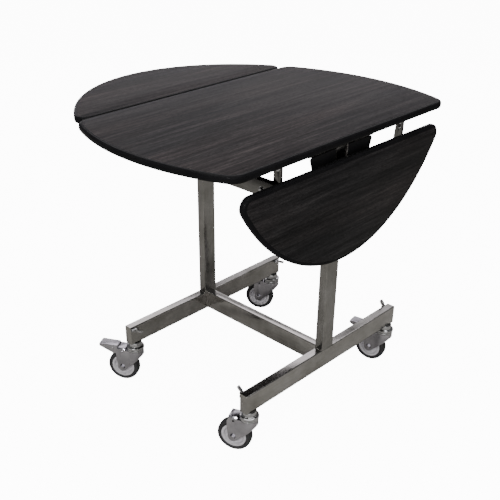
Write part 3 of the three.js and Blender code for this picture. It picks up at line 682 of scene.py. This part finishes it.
# ---- Leaf hinges
# At each hinge a stainless upright hangs from its flange under the top. A gooseneck arm,
# screwed under the leaf, turns beside the upright's wide neck on a headed pin, so that the
# leaf swings down clear of the edge.

top_underside = top_height - board_thickness
flange_under = top_underside - 0.003
flange_screws, flange_screw_y = (0.2255, 0.2435), 0.2080
arm_screws, arm_screw_y = (0.2950, 0.3175, 0.3400), 0.2400
bearer_screws, bearer_screw_x = (-0.100, -0.050, 0.050, 0.100), 0.2215
neck_low, neck_high = 0.2275, 0.2395
neck_foot = {"front": 0.7155, "back": 0.6850}
neck_widening = {"front": 0.009, "back": 0.005}


def pan_screw(name, radius):
    """a round screw head with a star recess, standing up from Z = 0"""
    piece = turned_piece(name, [(radius, 0), (radius, 0.0007), (radius * 0.86, 0.0017), (radius * 0.58, 0.0023),
                                (radius * 0.42, 0.0024)], vertices=24)
    pick(piece, "FACE", lambda face: face.normal.z > 0.9 and len(face.verts) > 8)
    bpy.ops.mesh.extrude_region_move(TRANSFORM_OT_translate={"value": (0, 0, -0.0012)})
    return leave_edit(piece, 35)


screw = pan_screw("screw_model", 0.0040)
rivet = turned_piece("rivet_model", [(0.0036, 0), (0.0035, 0.0008), (0.0028, 0.0016), (0.0014, 0.0021)], vertices=24)
leave_edit(rivet, 60)
face_down = Matrix.Rotation(math.pi, 4, "X")
# the hinge uprights are a still darker copy of the same steel, a painted shade
hinge_steel = brushed_steel("stainless_hinge", 2, 0.40)


def widened_upright(name, end):
    """the upright's sheet with the inner edge of its neck let out, as wide as on the real hinge"""
    piece = refined_copy(name, f"{end}_hinge_upright", 0.0004)
    side, row = end.split("_")
    away = 1 if side == "right" else -1
    bpy.ops.object.mode_set(mode="EDIT")
    pick(piece, "VERT", lambda vert: neck_low < away * (vert.co.x - centre_x) < neck_high
         and neck_foot[row] < vert.co.z < flange_under + 0.0003)
    bpy.ops.transform.translate(value=(-away * neck_widening[row], 0, 0))
    return leave_edit(piece, 38)


for end in ("left_front", "left_back", "right_front", "right_back"):
    side, row = end.split("_")
    upright = widened_upright(f"{end}_upright_plate", end)
    finish_piece(upright, hinge_steel, "stainless_steel", "frame", f"{end}_hinge_upright")
    arm = refined_copy(f"{end}_gooseneck", f"{end}_hinge_arm", 0.0004)
    finish_piece(arm, sheet_steel, "stainless_steel", f"{side}_leaf", f"{end}_hinge_arm")
    low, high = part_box(f"{end}_hinge_pin")
    length = high.y - low.y
    pin = turned_piece(f"{end}_pivot_pin", [(0.0034, 0), (0.0046, 0.0004), (0.0048, 0.0014), (0.0040, 0.0014),
                                           (0.0040, length - 0.0026), (0.0065, length - 0.0026),
                                           (0.0065, length - 0.0013), (0.0058, length - 0.0003), (0.0044, length)])
    leave_edit(pin, 40)
    outward = 1 if row == "back" else -1
    start = Vector(((low.x + high.x) / 2, low.y if row == "back" else high.y, (low.z + high.z) / 2))
    pin.data.transform(Matrix.Translation(start) @ Matrix.Rotation(math.radians(-90 * outward), 4, "X"))
    finish_piece(pin, chrome, "chrome", "frame", f"{end}_hinge_pin")
    away = 1 if side == "right" else -1
    for number, x in enumerate(flange_screws):
        place = Matrix.Translation((centre_x + away * x, outward * flange_screw_y, flange_under)) @ face_down
        finish_piece(placed_copy(screw, f"{end}_flange_screw_{number}", place), chrome, "chrome", "frame")
    leaf_place = to_centre if side == "left" else hang_right
    for number, x in enumerate(arm_screws):
        place = leaf_place @ Matrix.Translation((away * x, outward * arm_screw_y, flange_under)) @ face_down
        finish_piece(placed_copy(screw, f"{end}_arm_screw_{number}", place), chrome, "chrome", f"{side}_leaf")
    if row == "back":
        place = Matrix.Translation((start.x, 0.2220, 0.7400)) @ Matrix.Rotation(math.radians(90), 4, "X")
        finish_piece(placed_copy(rivet, f"{end}_upright_rivet", place), chrome, "chrome", "frame")
for side, x in (("left", -bearer_screw_x), ("right", bearer_screw_x)):
    for number, y in enumerate(bearer_screws):
        place = Matrix.Translation((centre_x + x, y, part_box(f"{side}_bearer")[0].z)) @ face_down
        finish_piece(placed_copy(screw, f"{side}_bearer_screw_{number}", place), chrome, "chrome", "frame")
put_away(screw)


# ---- Casters
# Swivel casters with a chromed stem collar over two ball races, a pressed and zinc-plated
# fork, a light grey moulded hub with a dark rubber tyre, and a bolt for the axle. Two of
# them, diagonally across, carry a brake pedal riveted between the fork's cheeks.

caster_turn = {"left_front": 209, "right_front": 203, "left_back": 209, "right_back": 190}
axle_back, axle_height = 0.038, 0.046


def zinc_plating():
    material, nodes, links, shader = new_material("zinc_plating")
    cloud = object_noise(nodes, 26.0, 3)
    colour = ramp(nodes, links, cloud, [(0.3, (0.38, 0.37, 0.40)), (0.7, (0.56, 0.545, 0.58))])
    links.new(colour, shader.inputs["Base Color"])
    shader.inputs["Metallic"].default_value = 1.0
    links.new(spread(nodes, links, cloud, 0.15, 0.26), shader.inputs["Roughness"])
    wave = object_noise(nodes, 55.0, 2)
    bump(nodes, links, shader, wave, 0.25, 0.0006)
    return material


def grey_nylon():
    material, nodes, links, shader = new_material("grey_hub_nylon")
    mottle = object_noise(nodes, 130.0, 4)
    colour = ramp(nodes, links, mottle, [(0.3, (0.56, 0.54, 0.57)), (0.7, (0.68, 0.66, 0.69))])
    links.new(colour, shader.inputs["Base Color"])
    links.new(spread(nodes, links, mottle, 0.34, 0.46), shader.inputs["Roughness"])
    bump(nodes, links, shader, mottle, 0.05, 0.0003)
    return material


def dark_rubber():
    material, nodes, links, shader = new_material("dark_tyre_rubber")
    dust = object_noise(nodes, 60.0, 6)
    colour = ramp(nodes, links, dust, [(0.35, (0.018, 0.018, 0.020)), (0.62, (0.030, 0.029, 0.031)),
                                       (0.80, (0.060, 0.058, 0.059))])
    links.new(colour, shader.inputs["Base Color"])
    links.new(spread(nodes, links, dust, 0.55, 0.75), shader.inputs["Roughness"])
    bump(nodes, links, shader, dust, 0.15, 0.0004)
    return material


zinc, nylon, rubber = zinc_plating(), grey_nylon(), dark_rubber()

hub_side = [(0.0043, -0.0140), (0.0092, -0.0140), (0.0100, -0.0134), (0.0108, -0.0050), (0.0125, -0.0038),
            (0.0240, -0.0034), (0.0262, -0.0052), (0.0272, -0.0108), (0.0284, -0.0119), (0.0332, -0.0119),
            (0.0339, -0.0112)]
hub_rings = hub_side + [(radius, -height) for radius, height in reversed(hub_side)] + hub_side[:1]
tyre_side = [(0.0340, -0.0116), (0.0362, -0.0131), (0.0392, -0.0135), (0.0422, -0.0131), (0.0443, -0.0112),
             (0.0455, -0.0080), (0.04595, -0.0042)]
tyre_rings = tyre_side + [(radius, -height) for radius, height in reversed(tyre_side)] + tyre_side[:1]
wheel_place = Matrix.Translation((axle_back, 0, axle_height)) @ Matrix.Rotation(math.radians(90), 4, "X")


def caster_matrix(end):
    low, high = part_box(f"{end}_caster_stem")
    axis = Matrix.Translation(((low.x + high.x) / 2, (low.y + high.y) / 2, 0))
    return axis @ Matrix.Rotation(math.radians(caster_turn[end]), 4, "Z")


def axle_bolt(name):
    piece = turned_piece(name, [
        (0.0040, -0.0190), (0.0040, 0.0188), (0.0066, 0.0190), (0.0070, 0.0194), (0.0070, 0.0222), (0.0060, 0.0238),
        (0.0040, 0.0248), (0.0015, 0.0250)], vertices=32)
    bpy.ops.mesh.primitive_cylinder_add(vertices=6, radius=0.0072, depth=0.0042, location=(0, 0, -0.0211))
    pick(piece, "EDGE", lambda edge: all(vert.co.z < -0.0231 for vert in edge.verts))
    bpy.ops.mesh.bevel(offset=0.0006, segments=2, affect="EDGES")
    return leave_edit(piece, 40)


def caster_models():
    """each piece of one caster, its swivel axis on Z and its wheel trailing towards +X"""
    stem = leave_edit(turned_piece("stem_model", [
        (0.0235, 0.1110), (0.0252, 0.1113), (0.0255, 0.1122), (0.0255, 0.1160), (0.0250, 0.1176), (0.0232, 0.1188),
        (0.0200, 0.1192), (0.0190, 0.1200), (0.0190, 0.1308), (0.0184, 0.1319), (0.0080, 0.1320), (0.0080, 0.1700),
        (0.0062, 0.1720)]))
    race = leave_edit(turned_piece("race_model", [
        (0.0222, 0.1040), (0.0236, 0.1044), (0.0243, 0.1058), (0.0244, 0.1078), (0.0236, 0.1096), (0.0218, 0.1104),
        (0.0200, 0.1107)]))
    fork = refined_copy("fork_model", "left_front_fork", 0.0012, 1.0)
    pedal = refined_copy("pedal_model", "left_front_brake_pedal", 0.0006, 1.0)
    for pressing in (fork, pedal):
        pressing.data.transform(caster_matrix("left_front").inverted())
    hub = leave_edit(turned_piece("hub_model", hub_rings, True, 64), 40)
    tyre = leave_edit(turned_piece("tyre_model", tyre_rings, True, 96), 60)
    bolt = axle_bolt("axle_model")
    for turning in (hub, tyre, bolt):
        turning.data.transform(wheel_place)
    return [(stem, "stem_collar", chrome, "chrome", "frame", "caster_stem"),
            (race, "lower_race", chrome, "chrome", "swivel", "ball_race"),
            (fork, "fork_pressing", zinc, "zinc_plate", "swivel", "fork"),
            (hub, "hub_moulding", nylon, "hub_plastic", "wheel", "wheel_hub"),
            (tyre, "tyre_ring", rubber, "tyre_rubber", "wheel", "tyre"),
            (bolt, "axle", zinc, "zinc_plate", "swivel", "axle_bolt"),
            (pedal, "pedal_pressing", zinc, "zinc_plate", "brake", "brake_pedal")]


caster = caster_models()
side_rivets = [Matrix.Translation((0.066, side * 0.0156, 0.105)) @ Matrix.Rotation(math.radians(-90 * side), 4, "X")
               for side in (-1, 1)]
for end in caster_turn:
    for model, name, material, slot, body, node in caster:
        if node == "brake_pedal" and end not in ("left_front", "right_back"):
            continue
        copy = placed_copy(model, f"{end}_{name}", caster_matrix(end))
        finish_piece(copy, material, slot, body if body == "frame" else f"{end}_{body}", f"{end}_{node}")
    if end in ("left_front", "right_back"):
        for number, place in enumerate(side_rivets):
            spot = placed_copy(rivet, f"{end}_pedal_rivet_{number}", caster_matrix(end) @ place)
            finish_piece(spot, chrome, "chrome", f"{end}_brake")
put_away(rivet, *[model for model, *_ in caster])


# ---- Wing screws
# A chromed wing screw near each end of a rail, in its inner face: a short shank, a hub and
# two thick flared wings. Each stands at the angle at which it was last tightened.

wing_turn = {"left_front": 62, "right_front": -14, "left_back": 70, "right_back": -6}
rail_end_to_wing, wing_drop = 0.0135, 0.009
wing_hub_radius, wing_thickening = 0.006, 1.6


def wing_matrix(end):
    side, row = end.split("_")
    low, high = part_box(f"{side}_foot_rail")
    x = high.x if side == "left" else low.x
    y = low.y + rail_end_to_wing if row == "front" else high.y - rail_end_to_wing
    facing = Matrix.Rotation(0 if side == "left" else math.pi, 4, "Z")
    return (Matrix.Translation((x, y, high.z - wing_drop)) @ facing
            @ Matrix.Rotation(math.radians(wing_turn[end]), 4, "X"))


wing = refined_copy("wing_model", "left_front_wing_screw", 0.0010, 1.0)
wing.data.transform(wing_matrix("left_front").inverted())
bpy.ops.object.mode_set(mode="EDIT")
pick(wing, "VERT", lambda vert: abs(vert.co.z) > wing_hub_radius)
bpy.ops.transform.resize(value=(1, wing_thickening, 1), center_override=(0, 0, 0))
leave_edit(wing, 38)
for end in wing_turn:
    copy = placed_copy(wing, f"{end}_wing_bolt", wing_matrix(end))
    finish_piece(copy, chrome, "chrome", "frame", f"{end}_wing_screw")
put_away(wing)


# ---- Room, light and camera
# A plain pale floor and sky, as bright to the eye as a lit studio sweep, soft light from
# above, behind and in front, and a camera at the height and angle of the photograph.
# Seen from below, the floor is clear.

studio_white = 12

floor = add_primitive(bpy.ops.mesh.primitive_plane_add, "floor", size=90, location=(0, 0, -0.0005))
leave_edit(floor)
pale, nodes, links, shader = new_material("pale_floor")
seen = nodes.new("ShaderNodeLightPath").outputs["Is Camera Ray"]
links.new(ramp(nodes, links, seen, [(0.0, (0.46, 0.45, 0.42)), (1.0, (0.85, 0.85, 0.85))]),
          shader.inputs["Base Color"])
links.new(seen, shader.inputs["Emission Color"])
shader.inputs["Emission Strength"].default_value = studio_white
shader.inputs["Roughness"].default_value = 0.9
from_below = nodes.new("ShaderNodeNewGeometry").outputs["Backfacing"]
links.new(ramp(nodes, links, from_below, [(0.0, (1, 1, 1)), (1.0, (0, 0, 0))]), shader.inputs["Alpha"])
floor.data.materials.append(pale)

world = bpy.data.worlds.new("studio")
bpy.context.scene.world = world
world.use_nodes = True
nodes, links = world.node_tree.nodes, world.node_tree.links
nodes["Background"].inputs["Color"].default_value = (0.97, 0.98, 1.0, 1)
seen = nodes.new("ShaderNodeLightPath").outputs["Is Camera Ray"]
brightness = nodes.new("ShaderNodeMapRange")
brightness.inputs["To Min"].default_value = 0.16
brightness.inputs["To Max"].default_value = studio_white
links.new(seen, brightness.inputs["Value"])
links.new(brightness.outputs["Result"], nodes["Background"].inputs["Strength"])


def soft_light(name, place, target, size, power, colour=(1, 1, 1)):
    lamp = bpy.data.lights.new(name, "AREA")
    lamp.color = colour
    lamp.shape = "RECTANGLE"
    lamp.size, lamp.size_y = size
    lamp.energy = power
    light = bpy.data.objects.new(name, lamp)
    light.location = place
    light.rotation_euler = (Vector(target) - Vector(place)).to_track_quat("-Z", "Y").to_euler()
    bpy.context.collection.objects.link(light)


soft_light("light_above", (0.2, -0.3, 3.4), (0, 0, 0.4), (3.0, 2.4), 66)
soft_light("light_behind", (-2.6, 2.6, 1.3), (0, 0, 0.5), (4.6, 1.4), 15, (1.0, 0.96, 1.0))
soft_light("light_high_behind", (-2.3, 2.3, 3.0), (0, 0, 0.2), (4.6, 1.1), 32, (1.0, 0.95, 1.0))
soft_light("light_front", (2.3, -2.3, 1.7), (0, 0, 0.4), (2.6, 2.0), 46)
soft_light("light_key", (1.4, -3.0, 2.3), (0, 0, 0.5), (0.40, 0.40), 42)

yaw, pitch, roll = math.radians(45.6), math.radians(30.4), math.radians(0.5)
forward = Vector((-math.sin(yaw) * math.cos(pitch), math.cos(yaw) * math.cos(pitch), -math.sin(pitch)))
right = Vector((math.cos(yaw), math.sin(yaw), 0))
down = forward.cross(right)
across = math.cos(roll) * right + math.sin(roll) * down
downward = -math.sin(roll) * right + math.cos(roll) * down
picture_size, focal_length = 500, 789.8
level_x, level_y = 223.3, 307.3
lens = bpy.data.cameras.new("camera")
lens.sensor_width = 36
lens.lens = focal_length / picture_size * 36
lens.shift_x = (250 - level_x) / picture_size
lens.shift_y = (level_y - 250) / picture_size
camera = bpy.data.objects.new("camera", lens)
camera.matrix_world = Matrix.Translation((1.3038 + centre_x, -1.4322, 1.3500)) @ Matrix(
    (across, -downward, -forward)).transposed().to_4x4()
bpy.context.collection.objects.link(camera)
bpy.context.scene.camera = camera
